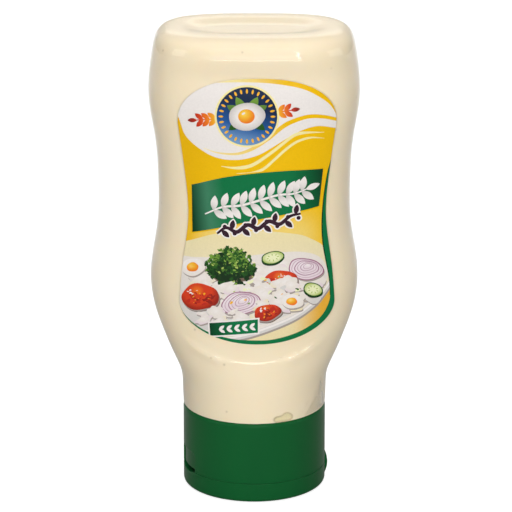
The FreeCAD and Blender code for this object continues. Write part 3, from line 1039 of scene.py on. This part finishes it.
def flourish_layers():
    """A dark vine on a white ground under the banner."""
    vine = [(-14, 107.2), (-10.5, 109.6), (-6.5, 108), (-2.5, 110.8), (1.5, 109.4), (5.5, 112.2),
            (9.5, 111), (13.5, 114), (17.5, 114.8)]
    line = smooth_line(vine, 8)
    shapes = [stroke(vine, (0.8, 1.5, 1.5, 1.5, 0.8))]
    for i in range(4, len(line) - 2, 8):
        x, z = line[i]
        side = 1 if (i // 8) % 2 else -1
        shapes.append(leaf(x, z, 4.0, 2.0, 18 + side * 62))
        shapes.append(oval(x + 1.2, z - side * 1.35, 0.8, 0.8, 0, 12))
    halo = []
    for shape in shapes:
        middle = shape.mean(0)
        away = shape - middle
        halo.append(middle + away * (1 + 0.55 / np.maximum(np.linalg.norm(away, axis=1), 0.8))[:, None])
    halo[0] = stroke(vine, (1.8, 2.6, 2.6, 2.6, 1.8))
    return [(shape, even(WHITE)) for shape in halo] + [(shape, even(PLUM)) for shape in shapes]


def sprig(x, z, turn, count):
    """A leafy twig whose pointed leaves turn from gold to red towards the tip."""
    c, s = math.cos(math.radians(turn)), math.sin(math.radians(turn))
    step = 2.35
    reach = step * (count + 1)
    shade = fade((x, z), (x + c * reach, z + s * reach), YOLK, ORANGE, RED, RED_DARK)
    layers = [(stroke([(x - c, z - s), (x + c * reach, z + s * reach)], (0.8, 0.3)), shade)]
    for i in range(count):
        px, pz = x + c * step * i, z + s * step * i
        for side in (1, -1):
            layers.append((leaf(px, pz, 3.9, 1.9, turn + side * 42), shade))
    layers.append((leaf(x + c * step * count, z + s * step * count, 3.6, 1.7, turn), shade))
    return layers


def emblem_layers():
    """A round blue medallion with half an egg on leaves, between two twigs."""
    x, z, radius = -2.7, 153.3, 11.3
    layers = sprig(x - 11.6, z - 1.0, 186, 3) + sprig(x + 11.6, z + 1.7, 8, 2)
    layers += [(oval(x, z, radius + 0.75, radius + 0.75, 0, 72), even(LINE_PALE)),
               (oval(x, z, radius, radius, 0, 72),
                fade((x + 3, z + radius), (x - 3, z - radius), NAVY, NAVY, BLUE, BLUE_PALE))]
    for i in range(28):
        turn = 2 * math.pi * i / 28
        layers.append((oval(x + 9.7 * math.cos(turn), z + 9.7 * math.sin(turn), 0.9, 0.42,
                            math.degrees(turn), 10), even(YOLK)))
    for turn in (150, 118, 62, 30, -38, -142):
        layers.append((leaf(x, z, 8.6, 3.6, turn), fade((x, z), (x, z + 8), HERB, HERB_LIGHT)))
    return layers + [
        (blob(x, z, 6.8, 5.4, 8, 0.03, 1.0), glow(x, z, 7, 5.6, WHITE, WHITE, GREY)),
        (oval(x - 0.2, z + 0.1, 3.1, 2.8), glow(x - 1, z + 1, 3.6, 3.4, YOLK_LIGHT, YOLK, ORANGE)),
        (oval(x - 1.3, z + 1.2, 0.7, 0.4, 30, 12), even(WHITE))]


def tag_layers():
    """The small green tag on the smile, with a white edge and a plain ornament."""
    edge = [(-17.6, 72.4), (2.0, 74.4), (2.0, 68.0), (-17.2, 66.2)]
    ground = [(-17.0, 71.9), (1.4, 73.8), (1.4, 68.5), (-16.7, 66.8)]
    layers = [(np.array(edge), even(WHITE)),
              (np.array(ground), fade((-17, 0), (2, 0), GREEN_DARK, GREEN, GREEN))]
    for i in range(5):
        x, z = -13.4 + 2.9 * i, 69.6 + 0.29 * i
        layers.append((leaf(x, z - 0.2, 2.7, 1.2, 40), even(WHITE)))
        layers.append((leaf(x, z, 2.7, 1.2, -28), even(WHITE)))
    return layers


# Salad on the front label

def plate_layers():
    """The plate behind the salad: its pale face, its rim and the dressing it holds."""
    face = smooth_line([(-34, 101), (-25.8, 103.3), (-12.9, 107.5), (2.2, 108.4), (15.4, 107),
                        (21.4, 104.7), (26.6, 100.6), (28.5, 93.1), (28.5, 86.9), (22.3, 79.4),
                        (15.1, 74.6), (4.8, 70.3), (-6, 67.6), (-18, 66.5), (-34, 72)], 6)
    rim = np.array([(29.4, 87.5), (26, 83), (22.3, 79.0), (15.1, 74.2), (4.8, 69.9), (-4, 67.0),
                    (-12, 65.4)])
    return [(face, fade((0, 108), (0, 74), PLATE_PALE, CREAM_PALE, SAUCE)),
            (stroke(rim + (0.35, -0.75), (1.4, 1.9, 1.9, 1.7)), even(SAUCE_SHADE)),
            (stroke(rim, (1.6, 2.0, 2.0, 1.6)), even(SAUCE_GREY)),
            (stroke(rim + (-0.15, 0.35), (0.7, 0.8, 0.8, 0.7)), even(WHITE))]


def lump(x, z, rx, rz, turn, wave, phase, *stops):
    """An uneven rounded piece that is lit from above, with a soft shade under it."""
    lit = glow(x - rx * 0.15, z + rz * 0.45, rx * 1.15, rz * 1.5, *stops)
    return [(blob(x + 0.25, z - 0.55, rx, rz, turn, wave, phase), even(SAUCE_SHADE)),
            (blob(x, z, rx, rz, turn, wave, phase), lit)]


def random_spot(pick):
    """A random reach, as a share, and a random turn: evenly spread over a disc."""
    return math.sqrt(pick.random()), 2 * math.pi * pick.random()


def patches(x, z, rx, rz, turn, count, size, tones, seed):
    """Small uneven touches of colour spread over an oval."""
    pick = random.Random(seed)
    layers = []
    for _ in range(count):
        reach, angle = random_spot(pick)
        reach *= 0.82
        px, pz = placed([(rx * reach * math.cos(angle), rz * reach * math.sin(angle))], x, z, turn)[0]
        long = size * pick.uniform(0.5, 1.3)
        touch = blob(px, pz, long, long * pick.uniform(0.3, 0.7), turn + pick.uniform(-50, 50), 0.25,
                     pick.uniform(0, 6), 14)
        layers.append((touch, even(pick.choice(tones))))
    return layers


def tomato(x, z, rx, rz, turn, seed):
    """Half a tomato: shaded skin, wet flesh, seeds and glints."""
    flesh = [RED_DARK, RED, RED_WET, RED_WET]
    layers = [(blob(x + 0.5, z - 1.0, rx, rz * 0.95, turn, 0.07, seed), even(GAP))]
    layers += lump(x, z, rx, rz, turn, 0.07, seed, ORANGE, RED, RED, RED_DARK)
    layers += patches(x, z - rz * 0.15, rx * 0.85, rz * 0.7, turn, 22, 1.1, flesh, seed)
    layers += patches(x, z - rz * 0.1, rx * 0.6, rz * 0.6, turn, 7, 0.45, [YOLK, ORANGE], seed + 1)
    layers += patches(x - rx * 0.2, z + rz * 0.4, rx * 0.6, rz * 0.35, turn, 5, 0.5, [WHITE], seed + 2)
    return layers


def onion(x, z, rx, rz, turn, seed, rings=6):
    """A slice of red onion: uneven rings, each with a thin purple edge."""
    layers = [(blob(x + 0.3, z - 0.6, rx, rz, turn, 0.04, seed), even(SAUCE_SHADE))]
    for i in range(rings):
        px, pz = x + 0.12 * i, z + 0.22 * i
        wide, high = rx * (1 - i * 0.15), rz * (1 - i * 0.15)
        lean, phase = turn + 4 * i, seed + i * 0.4
        rim = 0.28 if i % 2 else 0.42
        tone = towards(ONION_RIM, ONION, 0.5 if i % 2 else 0.12 * i)
        layers.append((blob(px, pz, wide, high, lean, 0.05, phase), even(tone)))
        layers.append((blob(px, pz, wide - rim, high - rim * 0.8, lean, 0.05, phase),
                       glow(px, pz + 0.6, wide, high, WHITE, ONION_PALE, ONION)))
    return layers


def cucumber(x, z, rx, rz, turn):
    """A slice of cucumber: dark rind, pale flesh and seeds."""
    layers = [(blob(x, z - 0.6, rx, rz, turn, 0.03, 1), even(HERB_DARK)),
              (blob(x, z, rx, rz, turn, 0.03, 1), even(HERB)),
              (blob(x, z, rx - 0.45, rz - 0.35, turn, 0.03, 1),
               glow(x, z, rx, rz, LIME_PALE, LIME_PALE, LIME))]
    for t in 2 * np.pi * np.arange(8) / 8:
        px, pz = placed([(rx * 0.45 * math.cos(t), rz * 0.45 * math.sin(t))], x, z, turn)[0]
        layers.append((oval(px, pz, 0.42, 0.2, math.degrees(t) + turn, 8), even(LIME)))
    return layers


def egg(x, z, rx, rz, turn):
    """A slice of egg."""
    yolk = glow(x - 0.8, z + 0.6, rx * 0.6, rz * 0.6, YOLK_PALE, YOLK, ORANGE)
    return lump(x, z, rx, rz, turn, 0.05, 2, WHITE, WHITE, SAUCE) + [
        (blob(x - 0.3, z, rx * 0.5, rz * 0.54, turn, 0.05, 4), yolk)]


def herb_tuft(x, z, rx, rz, count, seed):
    """A tuft of curly herbs: dark curls at the foot, lighter ones on top, with glints."""
    pick = random.Random(seed)
    layers = [(blob(x + 0.6, z - 1.9, rx * 0.84, rz * 0.74, 0, 0.12, 2.0), even(GAP)),
              (blob(x, z - 0.2, rx * 0.86, rz * 0.84, 0, 0.16, 2.0), even(HERB_DARK))]
    for _ in range(count):
        reach, turn = random_spot(pick)
        px = x + rx * reach * math.cos(turn)
        pz = z + rz * reach * math.sin(turn) * (1 - 0.2 * math.cos(2 * turn))
        light = (pz - z) / rz * 0.3 + 0.32 + pick.uniform(-0.45, 0.45)
        tone = towards(HERB_DARK, HERB, min(max(light * 2, 0), 1))
        tone = towards(tone, HERB_LIGHT, min(max(light * 2 - 1, 0), 1))
        curl = blob(px, pz, pick.uniform(0.45, 1.2), pick.uniform(0.3, 0.7), pick.uniform(0, 180),
                    0.4, pick.uniform(0, 6), 12)
        layers.append((curl, even(tone)))
    glints = patches(x, z + rz * 0.2, rx * 0.95, rz * 0.8, 0, 26, 0.5, [HERB_LIGHT, LIME], seed + 1)
    return layers + glints


def dressing(x, z, wide, high, count, seed, small=2.0, large=6.5):
    """Folds of dressing heaped over an oval, the lower ones in front."""
    pick = random.Random(seed)
    spots = []
    for _ in range(count):
        reach, turn = random_spot(pick)
        spots.append((x + wide * reach * math.cos(turn), z + high * reach * math.sin(turn)))
    layers = []
    for px, pz in sorted(spots, key=lambda spot: -spot[1]):
        rx = pick.uniform(small, large)
        edge = pick.choice([SAUCE, SAUCE, ONION, CREAM_PALE, SAUCE_GREY])
        layers += lump(px, pz, rx, rx * pick.uniform(0.35, 0.6), pick.uniform(-35, 35), 0.2,
                       pick.uniform(0, 6), WHITE, SAUCE, edge)
    return layers


def salad_layers():
    """A mixed salad on the plate, from the back of the plate to its front."""
    heap = smooth_line([(-31, 95), (-22, 97.5), (-8, 98), (4, 99.5), (17, 100), (25, 97), (27.8, 90),
                        (24.5, 83.5), (17, 77.5), (6, 72.8), (-5, 70.2), (-18, 69), (-33, 74)], 6, True)
    layers = plate_layers() + [(heap, fade((0, 99), (0, 70), SAUCE, SAUCE_GREY))]
    layers += dressing(-1, 86.5, 25, 10.5, 85, 7)
    layers += egg(-23.0, 93.5, 4.6, 3.3, 20) + onion(19.5, 93.0, 6.8, 4.2, -14, 1.0)
    layers += cucumber(7.0, 98.0, 4.4, 2.5, 12)
    layers += tomato(10.5, 88.6, 6.4, 4.4, -10, 5) + herb_tuft(-9.0, 94.2, 9.6, 6.6, 300, 3)
    layers += dressing(0, 84.6, 24, 4.5, 20, 12)
    layers += patches(2, 84, 20, 7, 0, 14, 1.2, [SAUCE_SHADE, SAUCE_GREY, LIME_PALE], 63)
    layers += tomato(-20.5, 82.0, 7.2, 5.2, 10, 9) + onion(-5.0, 80.0, 7.6, 4.6, 10, 2.5)
    layers += cucumber(22.3, 84.8, 3.9, 2.6, -24)
    layers += dressing(10, 79.5, 8, 3.2, 9, 21, 2.0, 4.5)
    layers += tomato(5.0, 76.4, 5.2, 3.2, 12, 14) + egg(14.5, 80.6, 4.2, 2.8, -8)
    layers += dressing(-12, 74.6, 11, 2.4, 11, 33, 1.8, 4.0)
    return layers + patches(-2, 86, 23, 9, 0, 16, 0.6, [HERB, HERB_LIGHT, LIME, YOLK], 41)


def front_layers():
    """All the front label's print."""
    return ([(die_line(LABEL_SHIFT), yellow_field)] + top_layers() + salad_layers() + border_layers()
            + banner_layers() + flourish_layers() + emblem_layers() + tag_layers())


def back_layers():
    """The back label's print: the front's fields round a plain pale panel."""
    panel = smooth_line([(-19, 118), (0, 120.5), (19, 118), (20.5, 100), (21.5, 84), (13, 75.5), (0, 73),
                         (-13, 75.5), (-21.5, 84), (-20.5, 100)], 6, True)
    return [(die_line(0), yellow_field)] + top_layers() + border_layers() + [(panel, even(CREAM_PALE))]


def lay_label(name, layers, side, node):
    """Lays a printed film on the wall in place of its CAD node; side is -1 in front, 1 at the back."""
    mesh = film_mesh(name, layers, side, print_material())
    dress(new_object(name, mesh), [node])
    return {"FINISHED"}


class FrontLabelOperator(Operator):
    """Builds the front label with its print"""

    bl_idname = "salad_cream.front_label"
    bl_label = "Front label"

    def execute(self, context):
        return lay_label("front_label_film", front_layers(), -1, "front_label")


class BackLabelOperator(Operator):
    """Builds the back label with its plainer print"""

    bl_idname = "salad_cream.back_label"
    bl_label = "Back label"

    def execute(self, context):
        return lay_label("back_label_film", back_layers(), 1, "back_label")


# Stage

def softbox(name, place, wide, high, power, reflected=True, lighting=True):
    """A rectangular lamp that faces the bottle's middle.

    A fill lamp isn't reflected in the gloss; a glint lamp shows there alone and lights nothing."""
    lamp = bpy.data.lights.new(name, "AREA")
    lamp.shape = "RECTANGLE"
    lamp.size = wide
    lamp.size_y = high
    lamp.energy = power
    light = bpy.data.objects.new(name, lamp)
    light.location = place
    light.rotation_euler = (Vector(LAMP_TARGET) - Vector(place)).to_track_quat("-Z", "Y").to_euler()
    light.visible_camera = False
    light.visible_glossy = reflected
    light.visible_diffuse = lighting
    bpy.context.scene.collection.objects.link(light)


def floor_material(sizes, colours):
    """A pale studio floor, faintly uneven; its lift keeps it white but leaves the bottle's front alone."""
    material, tree, place = new_material("studio_floor")
    tone = mix_colours(tree, noise(tree, place, 4.0), colours.floor, [0.97 * c for c in colours.floor])
    paint = add_node(tree, "ShaderNodeBsdfDiffuse", {"Color": tone})
    seen = add_node(tree, "ShaderNodeLightPath").outputs["Is Camera Ray"]
    depth = add_node(tree, "ShaderNodeSeparateXYZ", {0: place}).outputs["Y"]
    share = maths(tree, "MAXIMUM", seen, map_range(tree, depth, *LIFT_BEHIND))
    strength = maths(tree, "MULTIPLY", share, sizes.floor_lift)
    lift = add_node(tree, "ShaderNodeEmission", {"Color": (1, 1, 1, 1), "Strength": strength})
    both = add_node(tree, "ShaderNodeAddShader", {0: paint.outputs[0], 1: lift.outputs[0]})
    return finish_material(material, both)


def studio_world(sizes):
    """Even light from all sides, stronger from the bright wall behind the bottle."""
    world = bpy.data.worlds.new("studio")
    world.use_nodes = True
    tree = world.node_tree
    tree.nodes.clear()
    heading = add_node(tree, "ShaderNodeTexCoord").outputs["Generated"]
    across, back = add_node(tree, "ShaderNodeSeparateXYZ", {0: heading}).outputs[:2]
    path = add_node(tree, "ShaderNodeLightPath").outputs
    seen = maths(tree, "MAXIMUM", path["Is Glossy Ray"], path["Is Transmission Ray"])
    wider = maths(tree, "MULTIPLY", seen, WALL_REFLECTED)
    aside = maths(tree, "SUBTRACT", maths(tree, "ABSOLUTE", across), wider)
    wall = maths(tree, "MULTIPLY", map_range(tree, aside, *WALL_SIDE), map_range(tree, back, *WALL_BACK))
    room = maths(tree, "ADD", maths(tree, "MULTIPLY", seen, sizes.room_gloss), sizes.room_light)
    light = add_node(tree, "ShaderNodeBackground", {
        "Color": mix_colours(tree, seen, WARM_LIGHT, GLINT_LIGHT),
        "Strength": map_range(tree, wall, 0.0, 1.0, room, sizes.back_light)})
    add_node(tree, "ShaderNodeOutputWorld", {"Surface": light.outputs[0]})
    return world


class StageOperator(Operator):
    """Builds the floor, the studio light and the camera"""

    bl_idname = "salad_cream.stage"
    bl_label = "Stage"

    def execute(self, context):
        scene = context.scene
        sizes, colours = scene.bottle_sizes, scene.bottle_colours
        far = FLOOR_REACH
        mesh = bpy.data.meshes.new("floor")
        mesh.from_pydata([(-far, -far, 0), (far, -far, 0), (far, far, 0), (-far, far, 0)], [],
                         [(0, 1, 2, 3)])
        mesh.materials.append(floor_material(sizes, colours))
        new_object("floor", mesh)

        scene.world = studio_world(sizes)
        softbox("front_fill", (0.0, -1.9, 0.3), 1.2, 0.7, sizes.front_light, reflected=False)
        softbox("overhead_fill", (0.0, 0.0, 1.7), 2.0, 1.6, sizes.overhead_light, reflected=False)
        softbox("window", (0.02, -1.25, 1.1), 0.95, 1.8, sizes.window_light)
        softbox("window_side", (0.4, -1.3, 0.75), 0.035, 1.2, sizes.strip_light, lighting=False)
        softbox("window_sill", (0.02, -0.9, 0.05), 0.56, 0.05, sizes.sill_light, lighting=False)
        softbox("back_softbox", (0.0, 1.4, 0.8), 0.85, 0.43, sizes.rim_light)
        softbox("left_softbox", (-1.2, -0.7, 0.66), 0.7, 0.75, sizes.panel_light, lighting=False)
        softbox("right_softbox", (1.35, -0.43, 0.57), 0.9, 0.75, sizes.panel_light, lighting=False)

        lens = bpy.data.cameras.new("camera")
        lens.lens = 259.4
        lens.sensor_width = 36.0
        lens.clip_end = 20.0
        camera = bpy.data.objects.new("camera", lens)
        camera.location = CAMERA_PLACE
        aim = Vector(CAMERA_TARGET) - camera.location
        camera.rotation_euler = aim.to_track_quat("-Z", "Y").to_euler()
        scene.collection.objects.link(camera)
        scene.camera = camera
        scene.view_settings.view_transform = "Standard"
        return {"FINISHED"}


# Settings, sidebar and registration

def amount(name, description, default, **settings):
    """A number that is never below zero."""
    return FloatProperty(name=name, description=description, default=default, min=0, **settings)


def factor(name, description, default):
    """A number from 0 to 1."""
    return amount(name, description, default, max=1, subtype="FACTOR")


def lamp_power(name, description, default):
    """A lamp's power."""
    return amount(name, description, default, unit="POWER")


def point_count(name, description, default):
    """How many points a section has."""
    return IntProperty(name=name, description=description, default=default, min=24)


def shade(name, description, *rgb):
    """A colour setting, given as a screen colour."""
    return FloatVectorProperty(name=name, description=description, subtype="COLOR", size=3, min=0, max=1,
                               default=tuple(colour(*rgb)))


class BottleSizes(PropertyGroup):
    """Sizes, finishes and light strengths."""

    wall_thickness: amount("Wall thickness", "Thickness of the clear wall", 0.8 * MM,
                           unit="LENGTH", precision=5)
    wall_roughness: factor("Wall roughness", "Roughness of the clear wall", 0.09)
    base_roughness: factor("Base roughness", "Roughness of the base, on top here", 0.25)
    points_round: point_count("Points round", "Points round the wall's sections", 192)
    cream_points_round: point_count("Cream points round", "Points round the filling's sections", 288)
    room_light: amount("Room light", "Strength of the light from all sides", 0.03)
    room_gloss: amount("Room gloss", "How much brighter the room is in reflections", 0.3)
    back_light: amount("Back light", "Strength of the bright wall behind", 0.66)
    front_light: lamp_power("Front light", "Power of the fill lamp in front", 24.8)
    overhead_light: lamp_power("Overhead light", "Power of the fill lamp overhead", 20.8)
    window_light: lamp_power("Window light", "Power of the tall softbox seen in the gloss", 4.2)
    strip_light: lamp_power("Strip light", "Power of the bright strip beside that softbox", 2.0)
    sill_light: lamp_power("Sill light", "Power of the bright strip under that softbox", 0.5)
    panel_light: lamp_power("Panel light", "Power of each side softbox seen in the gloss", 2.8)
    rim_light: lamp_power("Rim light", "Power of the softbox behind, seen along the top", 1.5)
    floor_lift: amount("Floor lift", "Glow that keeps the floor white", 0.8)


class BottleColours(PropertyGroup):
    """Colours of the pieces and the stage."""

    wall: shade("Wall", "Tint of the clear wall", 253, 252, 248)
    cream: shade("Cream", "The salad cream", 247, 233, 208)
    cream_warm: shade("Warm cream", "The salad cream where it is a little warmer", 245, 229, 200)
    pocket: shade("Pocket", "The cream's oily skin in an air pocket", 240, 228, 192)
    # painted shade over the air pockets, also the colour of the cream's specks
    pocket_shade_and_specks: shade("Pocket edge", "The shaded edge of an air pocket", 205, 188, 158)
    cap: shade("Cap", "The green cap", 16, 92, 44)
    cap_dark: shade("Dark cap", "The cap where its plastic is darker", 12, 82, 40)
    floor: shade("Floor", "The studio floor", 190, 190, 190)


PIECES = (WallOperator, CreamOperator, CapOperator, FrontLabelOperator, BackLabelOperator, StageOperator)


class BottlePanel(Panel):
    """Lists the pieces and their settings"""

    bl_idname = "VIEW3D_PT_salad_cream"
    bl_label = "Salad cream bottle"
    bl_space_type = "VIEW_3D"
    bl_region_type = "UI"
    bl_category = "Salad cream"

    def draw(self, context):
        for settings in (context.scene.bottle_sizes, context.scene.bottle_colours):
            for name in settings.__annotations__:
                self.layout.prop(settings, name)
        for piece in PIECES:
            self.layout.operator(piece.bl_idname)


CLASSES = (BottleSizes, BottleColours, *PIECES, BottlePanel)


def register():
    """Adds the classes and the settings to Blender."""
    for cls in CLASSES:
        bpy.utils.register_class(cls)
    bpy.types.Scene.bottle_sizes = PointerProperty(type=BottleSizes)
    bpy.types.Scene.bottle_colours = PointerProperty(type=BottleColours)


def unregister():
    """Takes the settings and the classes out again."""
    del bpy.types.Scene.bottle_colours
    del bpy.types.Scene.bottle_sizes
    for cls in reversed(CLASSES):
        bpy.utils.unregister_class(cls)


def main():
    """Builds every piece."""
    register()
    for piece in PIECES:
        group, name = piece.bl_idname.split(".")
        getattr(getattr(bpy.ops, group), name)()


if __name__ == "__main__":
    main()
